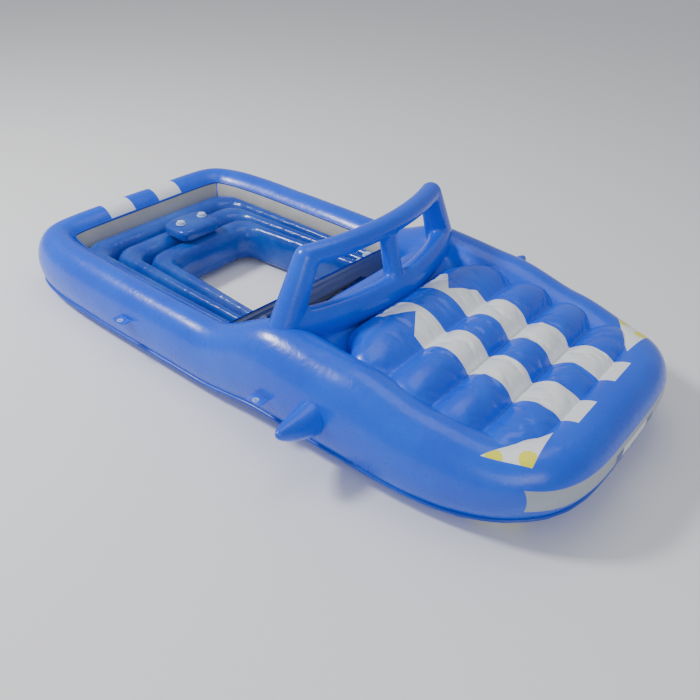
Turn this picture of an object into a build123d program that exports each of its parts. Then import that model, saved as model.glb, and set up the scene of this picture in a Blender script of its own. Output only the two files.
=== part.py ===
from build123d import *
import math
import os

# Inflatable ride-on float in the shape of an open car. Millimetres, +Z up, the nose
# towards -Y, the origin at the middle of the footprint, on the water line plane.

# Driving dimensions
overall_length = 2930
hull_width = 1440
flat_depth = 6          # how much of each tube's round bottom is pressed flat
seam_gap = 0.4          # clearance between skins that lie on each other

# Cockpit ring: side tubes and stern tube share one section
rim_half_width = 107
rim_half_height = 155
stern_corner_radius = 215
side_front_y = 130      # where the side tubes pass into the fenders

# Fenders, from the cockpit to the nose: y, half width, half height
fender_cowl = (-190, 150, 212)
fender_middle = (-590, 150, 198)
fender_front_y = -960
nose_half_width = 140
nose_half_height = 148
nose_corner_radius = 170
nose_bend_radius = 800
nose_corner_y = -1225
nose_bend_x = 250

# Hood pad: weld seams between its ribs as (y, z), from the windshield forward
hood_half_width = 480
hood_bottom = 60
hood_rear = (-415, 362)
hood_seams = [(-678, 351), (-878, 322), (-1071, 290), (-1252, 262)]
rib_crown = 50

# Cowl under the windshield
cowl_y = -255
cowl_half_width = 150
cowl_half_height = 188

# Windshield: one inflated frame with two open windows
sill_radius = 54
sill_height = 408
sill_half_span = 545
sill_end_y = -235
sill_bow = 135
header_radius = 36
header_height = 662
header_half_span = 415
header_end_y = -235
header_bow = 62
post_radius = 46
centre_post_radius = 32

# Mirrors, one on each fender
mirror_y = -510
mirror_root_x = 700
mirror_tip_x = 905
mirror_root_size = (82, 88)
mirror_tip_size = (16, 24)
mirror_root_z = 205
mirror_tip_z = 262

# Seat: concentric air channels round an open foot well
seat_top = 212
seat_bottom = 10
seat_edge_radius = 17
seat_front_y = 18
channel_count = 3
foot_well_front_half = 318
foot_well_rear_half = 255
foot_well_rear_y = 775
foot_well_corner = 90

# Console pillow on the stern seat
console_size = (250, 190, 74)
console_y = 930
console_edge_radius = 30

# Grey wall panel inside the cockpit rim
liner_thickness = 3
liner_top_angle = 42
liner_bottom_angle = -38

# Screw valves
valve_flange_radius = 25
valve_flange_height = 2.5
valve_neck_radius = 19.5
valve_neck_height = 9
valve_neck_bore = 15
valve_barrel_depth = 14
collar_radius = 19
collar_height = 3.5
collar_spigot_radius = 14.95
collar_spigot_depth = 9
collar_bore = 9.5
cap_radius = 13
cap_height = 2.5
cap_plug_radius = 8.6
cap_plug_depth = 4
tether_width = 8
tether_thickness = 1.2
lift_gap = 0.2          # between a cap or collar and the face it closes on
seat_valve_places = [(430, 108), (350, 90)]     # on the seat's front ends, as (x, y)
console_valve_x = 70

# Tie-down tabs on the hull's flanks
tab_length = 76
tab_reach = 46
tab_thickness = 3
tab_height = 186
tab_root_depth = 18
tab_stations = (553, -271)
eyelet_bore = 8
eyelet_rim = 13
eyelet_height = 6

# Worked out from the driving dimensions
rim_x = hull_width / 2 - rim_half_width
rim_z = rim_half_height - flat_depth
nose_x = hull_width / 2 - nose_half_width - 8
nose_front_y = -overall_length / 2 + nose_half_width
stern_y = overall_length / 2 - rim_half_width


def largest(shape):
    """The biggest solid of a cut shape: what stands outside the pieces it was cut by."""
    return max(shape.solids(), key=lambda solid: solid.volume)


def cut_flat(solid):
    """The solid without what lies below the water line plane."""
    below = Pos(0, 0, -500) * Box(4000, 4000, 1000)
    return solid - below


def oval(half_width, half_height, y, x):
    """An upright ellipse across the float at y, its flattened bottom on z = 0."""
    plane = Plane(origin=(x, y, half_height - flat_depth), x_dir=(1, 0, 0), z_dir=(0, -1, 0))
    return plane * Ellipse(half_width, half_height)


def cockpit_path():
    """Centre line of the rim: up one side, round the stern and down the other."""
    corners = [
        (-rim_x, side_front_y),
        (-rim_x, stern_y),
        (rim_x, stern_y),
        (rim_x, side_front_y),
    ]
    points = [(x, y, rim_z) for x, y in corners]
    return FilletPolyline(*points, radius=stern_corner_radius)


def side_tube(side):
    length = stern_y - stern_corner_radius - side_front_y
    section = oval(rim_half_width, rim_half_height, side_front_y, side * rim_x)
    return cut_flat(extrude(section, -length))


def stern_tube():
    # the path starts a little ahead of the corner arcs, and that run is cut off again
    arc_start_y = stern_y - stern_corner_radius
    run_y = arc_start_y - 10
    points = [(-rim_x, run_y), (-rim_x, stern_y), (rim_x, stern_y), (rim_x, run_y)]
    path = FilletPolyline(*[(x, y, rim_z) for x, y in points], radius=stern_corner_radius)
    tube = sweep(oval(rim_half_width, rim_half_height, run_y, -rim_x), path=path)
    ahead = Pos(0, arc_start_y - 500, 500) * Box(3000, 1000, 1400)
    return cut_flat(tube - ahead)


def fender(side):
    cowl_x = hull_width / 2 - fender_cowl[1]
    middle_x = hull_width / 2 - fender_middle[1]
    sections = [
        oval(rim_half_width, rim_half_height, side_front_y, side * rim_x),
        oval(fender_cowl[1], fender_cowl[2], fender_cowl[0], side * cowl_x),
        oval(fender_middle[1], fender_middle[2], fender_middle[0], side * middle_x),
        oval(nose_half_width, nose_half_height, fender_front_y, side * nose_x),
    ]
    return cut_flat(loft(sections))


def nose_tube():
    z = nose_half_height - flat_depth
    points = [
        (-nose_x, fender_front_y, z),
        (-nose_x, nose_corner_y, z),
        (-nose_bend_x, nose_front_y, z),
        (nose_bend_x, nose_front_y, z),
        (nose_x, nose_corner_y, z),
        (nose_x, fender_front_y, z),
    ]
    radii = [nose_corner_radius, nose_bend_radius, nose_bend_radius, nose_corner_radius]
    path = FilletPolyline(*points, radius=radii)
    section = oval(nose_half_width, nose_half_height, fender_front_y, -nose_x)
    return cut_flat(sweep(section, path=path))


def cowl(fenders):
    z = cowl_half_height - flat_depth
    plane = Plane(origin=(-hood_half_width, cowl_y, z), x_dir=(0, 1, 0), z_dir=(1, 0, 0))
    tube = extrude(plane * Ellipse(cowl_half_width, cowl_half_height), 2 * hood_half_width)
    return cut_flat(tube) - fenders


def hood_pad(neighbours):
    """Barrel ribs side by side, one air chamber, filling the bow between the tubes."""
    tops = [hood_rear] + hood_seams
    edges = []
    for rear, front in zip(tops, tops[1:]):
        middle = ((rear[0] + front[0]) / 2, (rear[1] + front[1]) / 2 + rib_crown)
        edges.append(ThreePointArc((rear[0], rear[1]), middle, (front[0], front[1])))
    front_y = tops[-1][0]
    rear_y = tops[0][0]
    edges.append(Line((front_y, tops[-1][1]), (front_y, hood_bottom)))
    edges.append(Line((front_y, hood_bottom), (rear_y, hood_bottom)))
    edges.append(Line((rear_y, hood_bottom), (rear_y, tops[0][1])))
    plane = Plane(origin=(-hood_half_width, 0, 0), x_dir=(0, 1, 0), z_dir=(1, 0, 0))
    block = extrude(plane * make_face(Curve() + edges), 2 * hood_half_width)
    return block - neighbours


def tube_between(start, end, radius):
    direction = Vector(*end) - Vector(*start)
    plane = Plane(origin=start, z_dir=direction)
    return extrude(plane * Circle(radius), direction.length)


def bowed_bar(half_span, end_y, bow, height, radius):
    """A round bar along an arc that bows forward between its two ends."""
    arc = ThreePointArc(
        (-half_span, end_y, height), (0, end_y - bow, height), (half_span, end_y, height)
    )
    bar = sweep(Plane(arc ^ 0) * Circle(radius), path=arc)
    for x in (-half_span, half_span):
        bar += Pos(x, end_y, height) * Sphere(radius)
    return bar


def windshield(neighbours):
    frame = bowed_bar(sill_half_span, sill_end_y, sill_bow, sill_height, sill_radius)
    frame += bowed_bar(header_half_span, header_end_y, header_bow, header_height, header_radius)
    for side in (-1, 1):
        foot = (side * sill_half_span, sill_end_y, sill_height)
        head = (side * header_half_span, header_end_y, header_height)
        frame += tube_between(foot, head, post_radius)
        frame += Pos(*head) * Sphere(post_radius)
    foot = (0, sill_end_y - sill_bow, sill_height)
    head = (0, header_end_y - header_bow, header_height)
    frame += tube_between(foot, head, centre_post_radius)
    return largest(frame - neighbours)


def mirror(side, fenders):
    root = Plane(origin=(side * mirror_root_x, mirror_y, mirror_root_z), z_dir=(side, 0, 0))
    tip = Plane(origin=(side * mirror_tip_x, mirror_y, mirror_tip_z), z_dir=(side, 0, 0))
    root_face = Plane(root.origin, x_dir=(0, 1, 0), z_dir=(side, 0, 0)) * Ellipse(*mirror_root_size)
    tip_face = Plane(tip.origin, x_dir=(0, 1, 0), z_dir=(side, 0, 0)) * Ellipse(*mirror_tip_size)
    return largest(loft([root_face, tip_face]) - fenders)


def u_outline(front_half, rear_half, rear_y, corner):
    """A plan outline, open car floor shaped: narrow at the stern, its rear corners round."""
    points = [
        (-front_half, seat_front_y),
        (-rear_half, rear_y),
        (rear_half, rear_y),
        (front_half, seat_front_y),
    ]
    line = FilletPolyline(*points, radius=corner)
    return make_face(Curve() + [line, Line(points[3], points[0])])


def seat_channel(index):
    """One upright air channel of the seat, 0 the outermost, round the foot well."""
    rim_inner = rim_x - rim_half_width - liner_thickness - 2 * seam_gap
    rim_rear = stern_y - rim_half_width - liner_thickness - 2 * seam_gap
    rim_corner = stern_corner_radius - rim_half_width

    def between(step):
        share = step / channel_count
        front = rim_inner + (foot_well_front_half - rim_inner) * share
        rear = rim_inner + (foot_well_rear_half - rim_inner) * share
        back = rim_rear + (foot_well_rear_y - rim_rear) * share
        corner = rim_corner + (foot_well_corner - rim_corner) * share
        return front, rear, back, corner

    outer = between(index)
    inner = between(index + 1)
    gap = seam_gap if index else 0
    outer = (outer[0] - gap, outer[1] - gap, outer[2] - gap, outer[3])
    ring = u_outline(*outer) - u_outline(*inner)
    solid = extrude(Pos(0, 0, seat_bottom) * ring, seat_top - seat_bottom)
    rims = solid.edges().filter_by_position(Axis.Z, seat_top - 1, seat_top + 1)
    rims = rims.filter_by(lambda edge: abs(edge.center().Y - seat_front_y) > 1)
    narrowest = min(outer[0] - inner[0], outer[1] - inner[1], outer[2] - inner[2])
    return fillet(rims, min(seat_edge_radius, 0.4 * narrowest))


def console():
    width, depth, height = console_size
    box = Pos(0, console_y, seat_top + seam_gap + height / 2) * Box(width, depth, height)
    box = fillet(box.edges().filter_by(Axis.Z), console_edge_radius + 10)
    return fillet(box.faces().sort_by(Axis.Z)[-1].edges(), console_edge_radius)


def liner():
    """The wall panel: a strip of the rim's own oval, lying on the inner face."""
    half_width = rim_half_width + seam_gap
    half_height = rim_half_height + seam_gap

    def on_oval(angle, extra):
        turn = math.radians(angle)
        return (
            (half_width + extra) * math.cos(turn),
            (half_height + extra) * math.sin(turn),
        )

    middle = (liner_top_angle + liner_bottom_angle) / 2
    outer = [on_oval(a, liner_thickness) for a in (liner_bottom_angle, middle, liner_top_angle)]
    inner = [on_oval(a, 0) for a in (liner_bottom_angle, middle, liner_top_angle)]
    face = make_face(
        Curve()
        + [
            ThreePointArc(*outer),
            Line(outer[2], inner[2]),
            ThreePointArc(*inner),
            Line(inner[0], outer[0]),
        ]
    )
    plane = Plane(origin=(-rim_x, side_front_y, rim_z), x_dir=(1, 0, 0), z_dir=(0, -1, 0))
    return sweep(plane * face, path=cockpit_path())


def valve_base(z):
    base = Pos(0, 0, z + valve_flange_height / 2) * Cylinder(valve_flange_radius, valve_flange_height)
    height = valve_neck_height + valve_barrel_depth
    base += Pos(0, 0, z - valve_barrel_depth + height / 2) * Cylinder(valve_neck_radius, height)
    bore_height = height - 3
    top = z + valve_neck_height
    return base - Pos(0, 0, top - bore_height / 2) * Cylinder(valve_neck_bore, bore_height)


def valve_collar(z):
    seat = z + valve_neck_height + lift_gap
    collar = Pos(0, 0, seat + collar_height / 2) * Cylinder(collar_radius, collar_height)
    collar += Pos(0, 0, seat - collar_spigot_depth / 2) * Cylinder(
        collar_spigot_radius, collar_spigot_depth
    )
    through = collar_height + collar_spigot_depth
    collar -= Pos(0, 0, seat + collar_height - through / 2) * Cylinder(collar_bore, through)
    return collar


def valve_cap(z):
    """The cap, its plug and the tether that ends at its fold over the collar's edge."""
    seat = z + valve_neck_height + lift_gap + collar_height + lift_gap
    cap = Pos(0, 0, seat + cap_height / 2) * Cylinder(cap_radius, cap_height)
    cap += Pos(0, 0, seat - cap_plug_depth / 2) * Cylinder(cap_plug_radius, cap_plug_depth)
    reach = collar_radius + 0.5
    strap = Pos(0, reach / 2, seat + tether_thickness / 2) * Box(
        tether_width, reach, tether_thickness
    )
    return cap + strap


def tie_down_tab(side, y):
    """A flat tab welded to the flank, with a hole for its eyelet."""
    root_x = hull_width / 2 - tab_root_depth
    tip_x = hull_width / 2 + tab_reach
    middle = side * (root_x + tip_x) / 2
    tab = Pos(middle, y, tab_height) * Box(tip_x - root_x, tab_length, tab_thickness)
    outer = tab.edges().filter_by(Axis.Z).sort_by(Axis.X)
    outer = outer[-2:] if side > 0 else outer[:2]
    tab = fillet(outer, 20)
    return tab - Pos(side * eyelet_x(), y, tab_height) * Cylinder(eyelet_rim - 3, 20)


def eyelet_x():
    return hull_width / 2 + tab_reach - eyelet_rim - 5


def eyelet(side, y):
    ring = Cylinder(eyelet_rim - 3 - 0.1, eyelet_height)
    lip = Cylinder(eyelet_rim, 1.2)
    offset = tab_thickness / 2 + 0.1 + 0.6
    ring += Pos(0, 0, offset) * lip
    ring += Pos(0, 0, -offset) * lip
    ring -= Cylinder(eyelet_bore, eyelet_height + 2)
    return Pos(side * eyelet_x(), y, tab_height) * ring


def save(shape, name):
    export_step(shape, "parts/" + name + ".step")


os.makedirs("parts", exist_ok=True)
sides = {"right": -1, "left": 1}

side_tubes = {name: side_tube(side) for name, side in sides.items()}
fenders = {name: fender(side) for name, side in sides.items()}
both_fenders = fenders["right"] + fenders["left"]
nose = nose_tube()
cowl_tube = cowl(both_fenders)
hood = hood_pad([both_fenders, nose, cowl_tube])
for name, side in sides.items():
    save(side_tubes[name], name + "_side_tube")
    save(fenders[name], name + "_fender_tube")
    save(mirror(side, both_fenders), name + "_mirror")
save(stern_tube(), "stern_tube")
save(nose, "nose_tube")
save(cowl_tube, "cowl_tube")
save(hood, "hood_pad")
save(windshield([both_fenders, cowl_tube, hood]), "windshield_frame")
save(largest(liner() - list(side_tubes.values())), "cockpit_liner")

# valve places as (x, y, z): on the seat's front ends and on the console pillow
console_top = seat_top + seam_gap + console_size[2]
valves = {}
for name, side in sides.items():
    for row, (x, y) in zip(("outer", "inner"), seat_valve_places):
        valves[name + "_" + row + "_valve"] = (side * x, y, seat_top)
    valves[name + "_console_valve"] = (side * console_valve_x, console_y, console_top)

bases = [Pos(x, y, 0) * valve_base(z) for x, y, z in valves.values()]
wells = [
    Pos(x, y, z - valve_barrel_depth / 2) * Cylinder(valve_neck_radius, valve_barrel_depth)
    for x, y, z in valves.values()
]
names = ["outer", "middle", "inner"]
for index in range(channel_count):
    save(seat_channel(index) - wells - both_fenders, "seat_" + names[index] + "_channel")
save(console() - wells, "console_pillow")
save(Compound(children=bases), "valve_bases")
for name, (x, y, z) in valves.items():
    save(Pos(x, y, 0) * valve_collar(z), name + "_collar")
    save(Pos(x, y, 0) * valve_cap(z), name + "_cap")

places = [(side, y) for side in sides.values() for y in tab_stations]
flanks = [both_fenders] + list(side_tubes.values())
save(Compound(children=[tie_down_tab(side, y) - flanks for side, y in places]), "tie_down_tabs")
save(Compound(children=[eyelet(side, y) for side, y in places]), "tab_eyelets")
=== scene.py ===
import bisect
import math

import bmesh
import bpy
from mathutils import Matrix, Vector, noise


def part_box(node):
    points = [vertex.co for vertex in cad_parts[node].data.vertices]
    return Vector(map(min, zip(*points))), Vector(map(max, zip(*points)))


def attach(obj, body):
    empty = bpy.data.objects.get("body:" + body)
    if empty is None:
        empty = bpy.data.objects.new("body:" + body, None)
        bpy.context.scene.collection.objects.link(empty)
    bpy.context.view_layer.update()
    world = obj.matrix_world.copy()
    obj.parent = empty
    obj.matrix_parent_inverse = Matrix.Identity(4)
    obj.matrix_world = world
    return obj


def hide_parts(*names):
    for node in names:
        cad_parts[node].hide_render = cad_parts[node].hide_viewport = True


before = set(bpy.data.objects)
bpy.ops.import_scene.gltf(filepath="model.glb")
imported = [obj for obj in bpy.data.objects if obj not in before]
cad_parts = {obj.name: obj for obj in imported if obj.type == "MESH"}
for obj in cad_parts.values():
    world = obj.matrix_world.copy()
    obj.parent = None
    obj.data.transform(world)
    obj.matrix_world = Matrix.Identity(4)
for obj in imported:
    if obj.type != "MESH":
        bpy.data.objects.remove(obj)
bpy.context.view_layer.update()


# Camera: stands off the float's right front corner and looks down on the hood and the
# cockpit, with the stern furthest away.
camera_data = bpy.data.cameras.new("camera")
camera_data.sensor_width = 36
camera_data.lens = 38.85
camera = bpy.data.objects.new("camera", camera_data)
bpy.context.scene.collection.objects.link(camera)
look_right = Vector((0.6278, -0.7774, 0.0405))
look_up = Vector((0.4251, 0.3860, 0.8188))
look_back = look_right.cross(look_up)
turned = Matrix((look_right, look_up, look_back)).transposed().to_4x4()
camera.matrix_world = Matrix.Translation((-2.315, -1.903, 2.002)) @ turned
bpy.context.scene.camera = camera


# Hull skin: the outer tube, the fenders and the cowl, one welded bag of glossy blue PVC.
# It is drawn as a tube round the float's outline, joined to the cowl and the bow's inner
# body, and drawn together as an inflated skin is, with soft hollows where they meet.
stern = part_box("stern_tube")
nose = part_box("nose_tube")
cowl_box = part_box("cowl_tube")
half_width = stern[1][0]
half_length = (stern[1][1] - nose[0][1]) / 2
FLAT_DEPTH = 0.006
STERN_BLUNT = 7.0
NOSE_BLUNT = 4.2
# sections of the tube from the nose to the cockpit: y, half width, half height
SECTIONS = [
    (-1.28, 0.140, 0.150),
    (-0.96, 0.140, 0.178),
    (-0.59, 0.150, 0.207),
    (-0.23, 0.152, 0.218),
    (0.13, 0.107, 0.155),
    (1.00, 0.107, 0.155),
]
WALK_STEPS = 3000


def superellipse(turn):
    blunt = STERN_BLUNT if math.sin(turn) > 0 else NOSE_BLUNT
    across, along = math.cos(turn), math.sin(turn)
    x = half_width * math.copysign(abs(across) ** (2 / blunt), across)
    y = half_length * math.copysign(abs(along) ** (2 / blunt), along)
    return x, y, blunt


walk = [superellipse(2 * math.pi * step / WALK_STEPS) for step in range(WALK_STEPS + 1)]
walked = [0.0]
for here, there in zip(walk, walk[1:]):
    walked.append(walked[-1] + math.hypot(there[0] - here[0], there[1] - here[1]))


def outline(share):
    """Point and outward direction on the float's outline, share 0 to 1 of the way round."""
    length = (share % 1.0) * walked[-1]
    step = min(max(bisect.bisect_right(walked, length), 1), WALK_STEPS)
    part = (length - walked[step - 1]) / max(walked[step] - walked[step - 1], 1e-9)
    a, b = walk[step - 1], walk[step]
    x = a[0] + (b[0] - a[0]) * part
    y = a[1] + (b[1] - a[1]) * part
    blunt = a[2] if abs(a[1]) > 1e-6 else b[2]
    out_x = math.copysign(abs(x / half_width) ** (blunt - 1) / half_width, x)
    out_y = math.copysign(abs(y / half_length) ** (blunt - 1) / half_length, y)
    return Vector((x, y, 0)), Vector((out_x, out_y, 0)).normalized()


def ease(value):
    value = min(max(value, 0.0), 1.0)
    return value * value * (3 - 2 * value)


def girth(y):
    """Half width and half height of the hull tube at y."""
    if y <= SECTIONS[0][0]:
        return SECTIONS[0][1:]
    for near, far in zip(SECTIONS, SECTIONS[1:]):
        if y <= far[0]:
            part = ease((y - near[0]) / (far[0] - near[0]))
            return tuple(n + (f - n) * part for n, f in zip(near[1:], far[1:]))
    return SECTIONS[-1][1:]


# the nose curls up off the water from here forward
NOSE_RISE = 0.062
NOSE_RISE_START = -0.98


def nose_rise(y):
    """How far the nose curls up off the water at y."""
    return NOSE_RISE * ease((NOSE_RISE_START - y) / (half_length + NOSE_RISE_START))


def on_hull(share, roll, lift=0.0):
    """A point on the hull tube. Roll 0 faces outward, a quarter turn faces up."""
    point, out = outline(share)
    wide, tall = girth(point.y)
    point = point - out * (wide - (wide + lift) * math.cos(roll))
    point.z = tall - FLAT_DEPTH + (tall + lift) * math.sin(roll) + nose_rise(point.y)
    return point


def ring_mesh(stations, around, place):
    """A closed ring: a circle spun full turn, each vertex put at place(share, roll)."""
    bm = bmesh.new()
    hub = 3.0
    upright = Matrix.Translation((hub, 0, 0)) @ Matrix.Rotation(math.pi / 2, 4, "X")
    bmesh.ops.create_circle(bm, segments=around, radius=1.0, matrix=upright)
    bmesh.ops.spin(bm, geom=bm.verts[:] + bm.edges[:], cent=(0, 0, 0), axis=(0, 0, 1),
                   angle=2 * math.pi, steps=stations, use_merge=True)
    bmesh.ops.remove_doubles(bm, verts=bm.verts[:], dist=1e-5)
    for vert in bm.verts:
        x, y, z = vert.co
        share = math.atan2(y, x) / (2 * math.pi) % 1.0
        roll = math.atan2(z, math.hypot(x, y) - hub)
        vert.co = place(share, roll)
    bmesh.ops.recalc_face_normals(bm, faces=bm.faces[:])
    return bm


def new_piece(name, bm, smooth=True):
    mesh = bpy.data.meshes.new(name)
    bm.to_mesh(mesh)
    bm.free()
    for polygon in mesh.polygons:
        polygon.use_smooth = smooth
    piece = bpy.data.objects.new(name, mesh)
    bpy.context.scene.collection.objects.link(piece)
    return piece


def settle(piece):
    """Makes the piece's modifiers part of its mesh."""
    graph = bpy.context.evaluated_depsgraph_get()
    mesh = bpy.data.meshes.new_from_object(piece.evaluated_get(graph))
    piece.modifiers.clear()
    piece.data = mesh
    for polygon in mesh.polygons:
        polygon.use_smooth = True


def relax(piece, rounds, strength=0.5):
    """Draws the skin's hollows and edges soft, as air pressure does."""
    soften = piece.modifiers.new("soften", "SMOOTH")
    soften.factor = strength
    soften.iterations = rounds
    settle(piece)


HULL_STATIONS, HULL_AROUND = 220, 44
COWL_DEEPER = 1.12
COWL_INSET = 0.14
BOW_MIDDLE = (0, -0.77, 0.150)
BOW_SIZE = (1.00, 0.86, 0.19, 1)
HULL_VOXEL = 0.0125
HULL_SOFTENING = 14
SWAY_SCALE, SWAY_HEIGHT = 3.1, 0.0022

hull_bm = ring_mesh(HULL_STATIONS, HULL_AROUND, on_hull)

# the cowl across the float under the windshield
cowl_mid_y = (cowl_box[0][1] + cowl_box[1][1]) / 2
cowl_place = (
    Matrix.Translation((0, cowl_mid_y, cowl_box[1][2] / 2))
    @ Matrix.Diagonal((1, COWL_DEEPER * (cowl_box[1][1] - cowl_box[0][1]) / 2,
                       cowl_box[1][2] / 2, 1))
    @ Matrix.Rotation(math.pi / 2, 4, "Y")
)
bmesh.ops.create_cone(hull_bm, cap_ends=True, segments=48, radius1=1, radius2=1,
                      depth=2 * (half_width - COWL_INSET), matrix=cowl_place)
# the body of the bow below the hood
bow_place = Matrix.Translation(BOW_MIDDLE) @ Matrix.Diagonal(BOW_SIZE)
bmesh.ops.create_cube(hull_bm, size=1.0, matrix=bow_place)
hull = new_piece("hull_skin", hull_bm)
remesh = hull.modifiers.new("one skin", "REMESH")
remesh.mode = "VOXEL"
remesh.voxel_size = HULL_VOXEL
settle(hull)
relax(hull, HULL_SOFTENING)
outward = [vert.normal.copy() for vert in hull.data.vertices]
for vert, normal in zip(hull.data.vertices, outward):
    sway = noise.fractal(vert.co * SWAY_SCALE, 1.0, 2.0, 3) * SWAY_HEIGHT
    at = vert.co + normal * sway
    at.z = max(at.z, 0.0)
    vert.co = at


def new_material(name):
    material = bpy.data.materials.new(name)
    material.use_nodes = True
    return material, material.node_tree.nodes, material.node_tree.links


def add_node(nodes, kind, **settings):
    node = nodes.new(kind)
    for key, value in settings.items():
        if key in node.inputs:
            node.inputs[key].default_value = value
        else:
            setattr(node, key, value)
    return node


def pvc(name, colour, pale, roughness=0.24, wrinkle=0.18):
    """Inflated PVC sheet: gloss skin, faint cloudy colour, fine creases and dull scuffs."""
    material, nodes, links = new_material(name)
    shader = nodes["Principled BSDF"]
    shader.inputs["Base Color"].default_value = (*colour, 1)
    shader.inputs["IOR"].default_value = 1.53
    shader.inputs["Coat Weight"].default_value = 0.18
    shader.inputs["Coat Roughness"].default_value = 0.12
    where = nodes.new("ShaderNodeTexCoord")
    cloud = add_node(nodes, "ShaderNodeTexNoise", Scale=4.0, Detail=4.0, Roughness=0.6)
    links.new(where.outputs["Object"], cloud.inputs["Vector"])
    tint = add_node(nodes, "ShaderNodeMix", data_type="RGBA")
    tint.inputs["A"].default_value = (*colour, 1)
    tint.inputs["B"].default_value = (*pale, 1)
    spread = add_node(nodes, "ShaderNodeMapRange", **{"From Min": 0.42, "From Max": 0.72})
    links.new(cloud.outputs["Fac"], spread.inputs["Value"])
    links.new(spread.outputs["Result"], tint.inputs["Factor"])
    links.new(tint.outputs["Result"], shader.inputs["Base Color"])
    scuff = add_node(nodes, "ShaderNodeTexNoise", Scale=38.0, Detail=6.0, Roughness=0.7)
    links.new(where.outputs["Object"], scuff.inputs["Vector"])
    dull = add_node(nodes, "ShaderNodeMapRange", **{
        "From Min": 0.3, "From Max": 0.8, "To Min": roughness, "To Max": roughness + 0.16})
    links.new(scuff.outputs["Fac"], dull.inputs["Value"])
    links.new(dull.outputs["Result"], shader.inputs["Roughness"])
    crease = add_node(nodes, "ShaderNodeTexNoise", Scale=14.0, Detail=5.0, Roughness=0.55,
                      Distortion=1.2)
    links.new(where.outputs["Object"], crease.inputs["Vector"])
    bump = add_node(nodes, "ShaderNodeBump", Strength=wrinkle, Distance=0.01)
    links.new(crease.outputs["Fac"], bump.inputs["Height"])
    links.new(bump.outputs["Normal"], shader.inputs["Normal"])
    return material


def fold_sides(nodes, links):
    """Object coordinates with the left half folded onto the right, whole and split up."""
    where = nodes.new("ShaderNodeTexCoord")
    split = nodes.new("ShaderNodeSeparateXYZ")
    links.new(where.outputs["Object"], split.inputs[0])
    fold = add_node(nodes, "ShaderNodeMath", operation="ABSOLUTE")
    links.new(split.outputs["X"], fold.inputs[0])
    whole = nodes.new("ShaderNodeCombineXYZ")
    links.new(fold.outputs[0], whole.inputs["X"])
    links.new(split.outputs["Y"], whole.inputs["Y"])
    return whole.outputs[0], {
        "x": fold.outputs[0], "y": split.outputs["Y"], "z": split.outputs["Z"]}


def every(nodes, links, masks):
    product = masks[0]
    for mask in masks[1:]:
        times = add_node(nodes, "ShaderNodeMath", operation="MULTIPLY")
        links.new(product, times.inputs[0])
        links.new(mask, times.inputs[1])
        product = times.outputs[0]
    return product


def block(nodes, links, axes, **ranges):
    """1 where each named coordinate lies in its range."""
    masks = []
    for axis, (low, high) in ranges.items():
        test = add_node(nodes, "ShaderNodeMath", operation="COMPARE")
        links.new(axes[axis], test.inputs[0])
        test.inputs[1].default_value = (low + high) / 2
        test.inputs[2].default_value = (high - low) / 2
        masks.append(test.outputs[0])
    return every(nodes, links, masks)


def patch(nodes, links, whole, corners):
    """1 inside a convex plan outline, its corners given anticlockwise."""
    masks = []
    for (ax, ay), (bx, by) in zip(corners, corners[1:] + corners[:1]):
        side = add_node(nodes, "ShaderNodeVectorMath", operation="DOT_PRODUCT")
        links.new(whole, side.inputs[0])
        side.inputs[1].default_value = (ay - by, bx - ax, 0)
        test = add_node(nodes, "ShaderNodeMath", operation="GREATER_THAN")
        links.new(side.outputs["Value"], test.inputs[0])
        test.inputs[1].default_value = (ay - by) * ax + (bx - ax) * ay
        masks.append(test.outputs[0])
    return every(nodes, links, masks)


def ink(material, mask, colour):
    """Prints a colour over what already colours the sheet."""
    nodes, links = material.node_tree.nodes, material.node_tree.links
    socket = nodes["Principled BSDF"].inputs["Base Color"]
    under = socket.links[0].from_socket
    over = add_node(nodes, "ShaderNodeMix", data_type="RGBA")
    over.inputs["B"].default_value = (*colour, 1)
    links.new(under, over.inputs["A"])
    links.new(mask, over.inputs["Factor"])
    links.new(over.outputs["Result"], socket)


BLUE = (0.000, 0.082, 0.740)
PALE_BLUE = (0.000, 0.108, 0.820)
WHITE = (0.80, 0.83, 0.85)
NAVY = (0.002, 0.030, 0.260)
blue_pvc = pvc("blue_pvc", BLUE, PALE_BLUE)
sheet, wires = blue_pvc.node_tree.nodes, blue_pvc.node_tree.links
folded, axes = fold_sides(sheet, wires)
LAMP_YELLOW = (0.85, 0.80, 0.02)
BUMPER_GREY = (0.36, 0.40, 0.47)
# where the prints lie: across is measured out from the middle line
STRIPE = (0.080, 0.234)
HOOD_STRIPE_RUN = (-1.320, -0.435)
STERN_STRIPE_RUN = (1.24, 1.60)
STRIPE_NOTCH = [(0.24, -0.47), (0.12, -0.55), (0.24, -0.63)]
NOSE_FACE = (-1.60, -1.27)
BUMPER_HEIGHT = (0.162, 0.250)
PLATE_HEIGHT = (0.120, 0.226)
PLATE_EDGE = 0.105
BUMPER_END = 0.56
LAMP = [(0.324, -1.272), (0.510, -1.294), (0.572, -1.134)]
LAMP_LIGHTS = [((0.549, -1.172), 0.030), ((0.492, -1.268), 0.032)]
ink(blue_pvc, block(sheet, wires, axes, x=STRIPE, y=HOOD_STRIPE_RUN, z=(0.24, 0.60)), WHITE)
ink(blue_pvc, patch(sheet, wires, folded, STRIPE_NOTCH), BLUE)
ink(blue_pvc, block(sheet, wires, axes, x=STRIPE, y=STERN_STRIPE_RUN, z=(0.14, 0.40)), WHITE)
# the nose: a pale bumper band, a blank plate and a dark shape on each side of the plate
for edges, heights, colour in (
    ((-0.1, BUMPER_END), BUMPER_HEIGHT, BUMPER_GREY),
    ((PLATE_EDGE, 0.170), PLATE_HEIGHT, NAVY),
    ((-0.1, PLATE_EDGE), PLATE_HEIGHT, WHITE),
):
    ink(blue_pvc, block(sheet, wires, axes, x=edges, y=NOSE_FACE, z=heights), colour)
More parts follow.
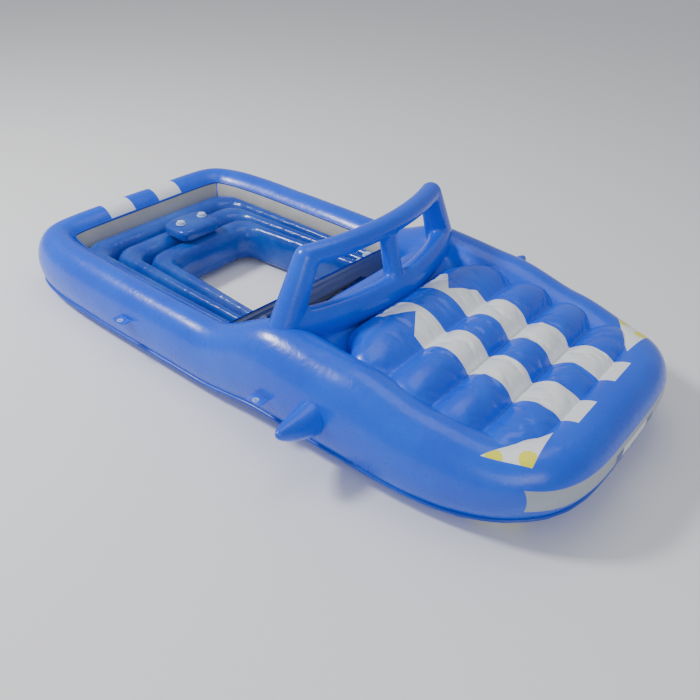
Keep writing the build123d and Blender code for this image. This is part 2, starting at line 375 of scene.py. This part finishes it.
# the lamps on the fender corners, each with two yellow lights
ink(blue_pvc, patch(sheet, wires, folded, LAMP), WHITE)
for light_place, light_size in LAMP_LIGHTS:
    apart = add_node(sheet, "ShaderNodeVectorMath", operation="DISTANCE")
    wires.new(folded, apart.inputs[0])
    apart.inputs[1].default_value = (*light_place, 0)
    close = add_node(sheet, "ShaderNodeMath", operation="LESS_THAN")
    wires.new(apart.outputs["Value"], close.inputs[0])
    close.inputs[1].default_value = light_size
    lit = every(sheet, wires, [close.outputs[0], patch(sheet, wires, folded, LAMP)])
    ink(blue_pvc, lit, LAMP_YELLOW)
hull.data.materials.clear()
hull.data.materials.append(blue_pvc)
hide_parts("right_side_tube", "left_side_tube", "right_fender_tube",
            "left_fender_tube", "stern_tube", "nose_tube", "cowl_tube")
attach(hull, "float")


# Grey wall panel: the lighter sheet that lines the cockpit's inside, below the blue rim.
COCKPIT_FRONT_Y = 0.01
LINER_TOP = math.radians(180 - 42)
LINER_BOTTOM = math.radians(180 + 50)


def cockpit_share(part):
    """Share of the outline from the cockpit's left front, round the stern, to its right."""
    start = COCKPIT_FRONT_Y / walked[-1]
    return start + (0.5 - 2 * start) * part


def tube_mesh(stations, around, place):
    """A tube with closed ends: each vertex put at place(part, roll), part 0 to 1 along it."""
    bm = bmesh.new()
    hub = 3.0
    upright = Matrix.Translation((hub, 0, 0)) @ Matrix.Rotation(math.pi / 2, 4, "X")
    bmesh.ops.create_circle(bm, segments=around, radius=1.0, matrix=upright)
    bmesh.ops.spin(bm, geom=bm.verts[:] + bm.edges[:], cent=(0, 0, 0), axis=(0, 0, 1),
                   angle=math.pi, steps=stations, use_merge=False)
    for vert in bm.verts:
        x, y, z = vert.co
        part = min(max(math.atan2(y, x) / math.pi, 0), 1)
        vert.co = place(part, math.atan2(z, math.hypot(x, y) - hub))
    bmesh.ops.remove_doubles(bm, verts=bm.verts[:], dist=2e-4)
    bmesh.ops.holes_fill(bm, edges=[e for e in bm.edges if e.is_boundary], sides=0)
    bmesh.ops.recalc_face_normals(bm, faces=bm.faces[:])
    return bm


def wall_place(part, section):
    """The panel's section is a flat loop: down its face and back up behind it."""
    side = (1 - math.cos(section)) / 2
    roll = LINER_TOP + (LINER_BOTTOM - LINER_TOP) * side
    point = on_hull(cockpit_share(part), roll, 0.003 + 0.002 * math.sin(section))
    ripple = noise.noise(point * 9) * 0.0012
    return point + Vector((0, 0, ripple))


liner = new_piece("cockpit_wall", tube_mesh(240, 44, wall_place))
grey_pvc = pvc("grey_pvc", (0.40, 0.40, 0.37), (0.47, 0.47, 0.44), roughness=0.34)
liner.data.materials.append(grey_pvc)
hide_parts("cockpit_liner")
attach(liner, "float")


# Weld seams: the flat flange that closes the hull tube low down on its outer face, and the
# bead where the blue sheet meets the grey wall.
FLANGE_ROLL = -0.62
FLANGE_REACH = 0.009


def flange_place(share, roll):
    pucker = 0.0015 * noise.noise(Vector((share * 160, 0, 0)))
    reach = FLANGE_REACH + pucker
    return on_hull(share, FLANGE_ROLL + 0.035 * math.sin(roll), 0.003 + reach * math.cos(roll))


def bead_place(part, roll):
    return on_hull(cockpit_share(part), LINER_TOP + 0.04 * math.sin(roll),
                   0.004 + 0.004 * math.cos(roll))


seam_blue = pvc("seam_blue", (0.0, 0.055, 0.50), (0.0, 0.075, 0.60), roughness=0.3)
for name, seam_bm in (("hull_flange", ring_mesh(480, 10, flange_place)),
                      ("wall_bead", tube_mesh(240, 10, bead_place))):
    seam = new_piece(name, seam_bm)
    seam.data.materials.append(seam_blue)
    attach(seam, "float")


# Hood pad: four barrel ribs welded across the bow, one air chamber, with the two racing
# stripes printed on the sheet. Inflated by a short cloth run that is pinned at the welds.
# the five welds across the pad: y, height
HOOD_WELDS = [
    (-0.390, 0.352),
    (-0.678, 0.346),
    (-0.878, 0.320),
    (-1.071, 0.290),
    (-1.292, 0.252),
]
RIB_CROWN = 0.056
HOOD_EDGE_DROP = 0.030
HOOD_BASE_Z = 0.205


def hood_half(y):
    """Half width of the pad at y: round corners, widest over the middle ribs."""
    rear_round = ease((HOOD_WELDS[0][0] - y) / 0.16)
    front_round = math.sqrt(max(ease((y - HOOD_WELDS[-1][0]) / 0.13), 0))
    widest = 0.535 - 0.10 * max(y + 0.83, 0)
    return widest * (0.74 + 0.26 * rear_round) * (0.72 + 0.28 * front_round)


def hood_top(along, across):
    """Along runs 0 to 4 from weld to weld, across -1 to 1 between the pad's ends."""
    rib = min(int(along), len(HOOD_WELDS) - 2)
    part = along - rib
    rear, front = HOOD_WELDS[rib], HOOD_WELDS[rib + 1]
    y = rear[0] + (front[0] - rear[0]) * part
    weld_z = rear[1] + (front[1] - rear[1]) * part
    arch = math.sqrt(max(1 - (2 * part - 1) ** 2, 0))
    arch = 0.35 * arch + 0.65 * arch ** 2
    end = max(1 - abs(across) ** 7, 0) ** 0.5
    scallop = 1 - 0.030 * (1 - arch)
    x = hood_half(y) * scallop * across
    z = weld_z - HOOD_EDGE_DROP * (1 - end) + RIB_CROWN * arch * end + 0.5 * nose_rise(y)
    return Vector((x, y, z))


RIBS = len(HOOD_WELDS) - 1
RIB_STEPS = 22
hood_bm = bmesh.new()
bmesh.ops.create_grid(hood_bm, x_segments=96, y_segments=RIBS * RIB_STEPS, size=0.5)
pins = hood_bm.verts.layers.deform.verify()
for vert in hood_bm.verts:
    across, along = 2 * vert.co.x, (0.5 - vert.co.y) * RIBS
    on_weld = abs(along - round(along)) < 0.5 / RIB_STEPS
    vert.co = hood_top(along, across)
    vert[pins][0] = 1.0 if on_weld or abs(across) > 0.985 else 0.0
whole_top = hood_bm.verts[:] + hood_bm.edges[:] + hood_bm.faces[:]
base = bmesh.ops.duplicate(hood_bm, geom=whole_top)["geom"]
for vert in [part for part in base if isinstance(part, bmesh.types.BMVert)]:
    vert.co.z = HOOD_BASE_Z
    vert[pins][0] = 1.0
bmesh.ops.bridge_loops(hood_bm, edges=[e for e in hood_bm.edges if e.is_boundary])
bmesh.ops.recalc_face_normals(hood_bm, faces=hood_bm.faces[:])
hood = new_piece("hood_pad_skin", hood_bm)
hood.vertex_groups.new(name="welds")


def inflate(piece, pressure, growth, cap, frames=20, group="welds"):
    """Blows the piece up with the cloth solver and keeps each vertex within the cap."""
    start = [vert.co.copy() for vert in piece.data.vertices]
    cloth = piece.modifiers.new("air", "CLOTH")
    cloth.settings.quality = 6
    cloth.settings.mass = 0.6
    cloth.settings.tension_stiffness = 30
    cloth.settings.compression_stiffness = 30
    cloth.settings.bending_stiffness = 0.8
    cloth.settings.use_pressure = True
    cloth.settings.uniform_pressure_force = pressure
    cloth.settings.shrink_min = -growth
    cloth.settings.effector_weights.gravity = 0
    if group:
        cloth.settings.vertex_group_mass = group
    cloth.point_cache.frame_end = frames
    for number in range(1, frames + 1):
        bpy.context.scene.frame_set(number)
    graph = bpy.context.evaluated_depsgraph_get()
    blown = [vert.co.copy() for vert in piece.evaluated_get(graph).data.vertices]
    piece.modifiers.clear()
    bpy.context.scene.frame_set(1)
    for vert, before, after in zip(piece.data.vertices, start, blown):
        move = after - before
        if move.length > cap:
            move *= cap / move.length
        vert.co = before + move


inflate(hood, pressure=6.0, growth=0.03, cap=0.012)
finer = hood.modifiers.new("finer", "SUBSURF")
finer.levels = finer.render_levels = 1
hood.data.materials.append(blue_pvc)
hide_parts("hood_pad")
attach(hood, "float")


# Windshield: one inflated frame with a centre post and two open windows, welded to the
# cowl. Round bars joined and drawn together into one skin.
SILL = (0.555, -0.230, 0.135, 0.396, 0.054, 0.072)
HEADER = (0.418, -0.230, 0.064, 0.660, 0.046, 0.043)


def bowed_bar(bm, bar):
    """A bar bowed forward on an arc: half span, end y, bow, height, half depth, half height."""
    half, end_y, bow, height, depth, tall = bar
    radius = (half * half + bow * bow) / (2 * bow)
    sweep_angle = 2 * math.asin(half / radius)
    made = bmesh.ops.create_circle(bm, cap_ends=True, segments=28, radius=1.0)
    upright = Matrix.Rotation(math.pi / 2, 4, "Y")
    bmesh.ops.transform(bm, verts=made["verts"], matrix=(
        Matrix.Translation((0, end_y - bow, height))
        @ Matrix.Diagonal((1, depth, tall, 1)) @ upright))
    hub = Vector((0, end_y - bow + radius, height))
    bmesh.ops.rotate(bm, verts=made["verts"], cent=hub,
                     matrix=Matrix.Rotation(-sweep_angle / 2, 3, "Z"))
    ring = list({e for v in made["verts"] for e in v.link_edges})
    faces = list({f for v in made["verts"] for f in v.link_faces})
    bmesh.ops.spin(bm, geom=made["verts"] + ring + faces, cent=hub, axis=(0, 0, 1),
                   angle=sweep_angle, steps=40, use_merge=False)


def straight_bar(bm, foot, head, radius_foot, radius_head):
    foot, head = Vector(foot), Vector(head)
    along = head - foot
    turn = along.to_track_quat("Z", "Y").to_matrix().to_4x4()
    bmesh.ops.create_cone(bm, cap_ends=True, segments=28, radius1=radius_foot,
                          radius2=radius_head, depth=along.length,
                          matrix=Matrix.Translation((foot + head) / 2) @ turn)
    for end, size in ((foot, radius_foot), (head, radius_head)):
        bmesh.ops.create_uvsphere(bm, u_segments=28, v_segments=16, radius=size,
                                  matrix=Matrix.Translation(end))


shield_bm = bmesh.new()
bowed_bar(shield_bm, SILL)
bowed_bar(shield_bm, HEADER)
for side in (-1, 1):
    straight_bar(shield_bm, (side * SILL[0], SILL[1], SILL[3] - 0.03),
                 (side * HEADER[0], HEADER[1], HEADER[3] - 0.006), 0.068, 0.050)
straight_bar(shield_bm, (0, SILL[1] - SILL[2], SILL[3]),
             (0, HEADER[1] - HEADER[2], HEADER[3]), 0.043, 0.037)
bmesh.ops.recalc_face_normals(shield_bm, faces=shield_bm.faces[:])
shield = new_piece("windshield_skin", shield_bm)
remesh = shield.modifiers.new("one skin", "REMESH")
remesh.mode = "VOXEL"
remesh.voxel_size = 0.007
settle(shield)
relax(shield, 14)
shield.data.materials.clear()
shield.data.materials.append(blue_pvc)
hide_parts("windshield_frame")
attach(shield, "float")


# Mirrors: two small inflated fins welded to the fenders, full at the root and rounded at
# the tip.
for name, side in (("right", -1), ("left", 1)):
    fin_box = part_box(name + "_mirror")
    root_x, tip_x = sorted((abs(fin_box[0][0]), abs(fin_box[1][0])))
    fin_bm = bmesh.new()
    bmesh.ops.create_uvsphere(fin_bm, u_segments=40, v_segments=40, radius=1.0)
    for vert in fin_bm.verts:
        reach = (vert.co.z + 1) / 2
        round_x, round_y = vert.co.x, vert.co.y
        flat = math.hypot(round_x, round_y)
        if flat > 1e-6:
            round_x, round_y = round_x / flat, round_y / flat
        belly = 0.038 + 0.047 * (1 - reach) ** 1.3
        belly *= math.sqrt(max(1 - reach ** 5, 0))
        belly = belly if reach > 0.001 else 0
        x = side * (root_x - 0.06 + (tip_x - root_x + 0.055) * reach)
        y = (fin_box[0][1] + fin_box[1][1]) / 2 + belly * 0.95 * round_x - 0.012 * reach
        z = 0.205 + 0.045 * reach ** 2 + belly * 1.05 * round_y
        vert.co = (x, y, z)
    bmesh.ops.remove_doubles(fin_bm, verts=fin_bm.verts[:], dist=1e-5)
    bmesh.ops.recalc_face_normals(fin_bm, faces=fin_bm.faces[:])
    fin = new_piece(name + "_mirror_skin", fin_bm)
    fin.data.materials.append(blue_pvc)
    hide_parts(name + "_mirror")
    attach(fin, "float")


# Seat: three concentric air channels of clear blue PVC round the open foot well, each a
# tall cell between two welds, narrower where the ends come forward.
outer_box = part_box("seat_outer_channel")
inner_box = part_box("seat_inner_channel")
SEAT_TOP = outer_box[1][2]
SEAT_FRONT = inner_box[0][1]
# plan outlines of the welds, outermost and innermost: front half, rear half, back y, corner
SEAT_WALL = (0.500, 0.500, outer_box[1][1], 0.11)
WELL_WALL = (0.318, 0.255, 0.775, 0.09)
CHANNELS = 3
SIDE_SHARE, CORNER_SHARE = 0.34, 0.45


def seat_line(step, part):
    """Plan point on weld line step, part 0 to 1 from the right front round to the left."""
    share = step / CHANNELS
    front, rear, back, corner = (a + (b - a) * share for a, b in zip(SEAT_WALL, WELL_WALL))
    side = -1 if part < 0.5 else 1
    half = part if part < 0.5 else 1 - part
    if half < SIDE_SHARE:
        run = half / SIDE_SHARE
        y = SEAT_FRONT + (back - corner - SEAT_FRONT) * run
        x = front + (rear - front) * run
    elif half < CORNER_SHARE:
        turn = (half - SIDE_SHARE) / (CORNER_SHARE - SIDE_SHARE) * math.pi / 2
        x = rear - corner + corner * math.cos(turn)
        y = back - corner + corner * math.sin(turn)
    else:
        run = (half - CORNER_SHARE) / (0.5 - CORNER_SHARE)
        x = (rear - corner) * (1 - run)
        y = back
    return Vector((side * x, y, 0))


def channel_mesh(step):
    def place(part, roll):
        outer, inner = seat_line(step, part), seat_line(step + 1, part)
        middle, half = (outer + inner) / 2, (outer - inner) / 2
        to_end = min(part, 1 - part) * 3.2
        closing = math.sqrt(max(1 - max(1 - to_end / 0.05, 0) ** 2, 0))
        across = math.copysign(abs(math.cos(roll)) ** 0.75, math.cos(roll))
        upward = math.copysign(abs(math.sin(roll)) ** 0.85, math.sin(roll))
        pucker = 1 + 0.05 * noise.noise(middle * 26 + Vector((0, 0, step)))
        point = middle + half * (0.97 * across * pucker) * closing
        tall = (SEAT_TOP - 0.012) / 2
        point.z = 0.012 + tall + tall * upward * (0.3 + 0.7 * closing)
        return point

    return tube_mesh(220, 28, place)


def clear_pvc(name):
    material = pvc(name, (0.004, 0.060, 0.48), (0.030, 0.140, 0.62), roughness=0.12, wrinkle=0.4)
    shader = material.node_tree.nodes["Principled BSDF"]
    shader.inputs["Alpha"].default_value = 0.82
    return material


clear_blue = clear_pvc("clear_blue_pvc")
for step, name in enumerate(("outer", "middle", "inner")):
    channel = new_piece("seat_" + name + "_skin", channel_mesh(step))
    channel.data.materials.append(clear_blue)
    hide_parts("seat_" + name + "_channel")
    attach(channel, "float")


# Console pillow: a small clear blue cushion on the stern seat, boxy in plan and crowned,
# that holds two valves.
console_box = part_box("console_pillow")
console_mid = (Vector(console_box[0]) + Vector(console_box[1])) / 2
console_size = Vector(console_box[1]) - Vector(console_box[0])
console_bm = bmesh.new()
bmesh.ops.create_uvsphere(console_bm, u_segments=64, v_segments=32, radius=1.0)
for vert in console_bm.verts:
    x, y, z = vert.co
    boxy = [math.copysign(abs(value) ** 0.45, value) for value in (x, y)]
    rise = math.copysign(abs(z) ** 0.6, z)
    vert.co = console_mid + Vector((
        boxy[0] * console_size.x / 2, boxy[1] * console_size.y / 2, rise * console_size.z / 2))
bmesh.ops.recalc_face_normals(console_bm, faces=console_bm.faces[:])
console = new_piece("console_pillow_skin", console_bm)
console.data.materials.append(clear_blue)
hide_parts("console_pillow")
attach(console, "float")


# Valves: moulded pale vinyl bases with screw collars and plug caps on short tethers. They
# keep their CAD shapes and take the vinyl finish.
valve_vinyl = pvc("valve_vinyl", (0.42, 0.55, 0.80), (0.60, 0.70, 0.90),
                  roughness=0.2, wrinkle=0.05)
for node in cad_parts:
    if node.endswith(("_collar", "_cap")) or node == "valve_bases":
        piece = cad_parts[node]
        piece.data.materials.clear()
        piece.data.materials.append(valve_vinyl)


# Tie-down tabs: flat welded tabs with moulded eyelets, two on each flank, in their CAD
# shapes.
for node in ("tie_down_tabs", "tab_eyelets"):
    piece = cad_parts[node]
    piece.data.materials.clear()
    piece.data.materials.append(blue_pvc if node == "tie_down_tabs" else valve_vinyl)


# Stage: a plain pale floor and soft studio light, the strongest from behind the float's
# right side.
floor_bm = bmesh.new()
bmesh.ops.create_grid(floor_bm, x_segments=1, y_segments=1, size=30)
floor = new_piece("floor", floor_bm)
floor_paint, floor_nodes, _ = new_material("floor_paint")
floor_nodes["Principled BSDF"].inputs["Base Color"].default_value = (0.86, 0.86, 0.86, 1)
floor_nodes["Principled BSDF"].inputs["Roughness"].default_value = 0.9
floor.data.materials.append(floor_paint)


def soft_light(name, place, size, power, target=(0, 0, 0.2)):
    data = bpy.data.lights.new(name, "AREA")
    data.shape = "RECTANGLE"
    data.size, data.size_y = size
    data.energy = power
    light = bpy.data.objects.new(name, data)
    bpy.context.scene.collection.objects.link(light)
    light.location = place
    aim = Vector(target) - Vector(place)
    light.rotation_euler = aim.to_track_quat("-Z", "Y").to_euler()


soft_light("key", (-2.6, 3.4, 4.6), (1.0, 1.0), 290)
soft_light("fill", (-3.5, -4.0, 3.0), (3.0, 2.0), 55)
soft_light("top", (1.0, 0.0, 5.0), (3.0, 3.0), 40)
world = bpy.data.worlds.new("studio")
world.use_nodes = True
world.node_tree.nodes["Background"].inputs["Color"].default_value = (0.9, 0.93, 1.0, 1)
world.node_tree.nodes["Background"].inputs["Strength"].default_value = 0.50
bpy.context.scene.world = world
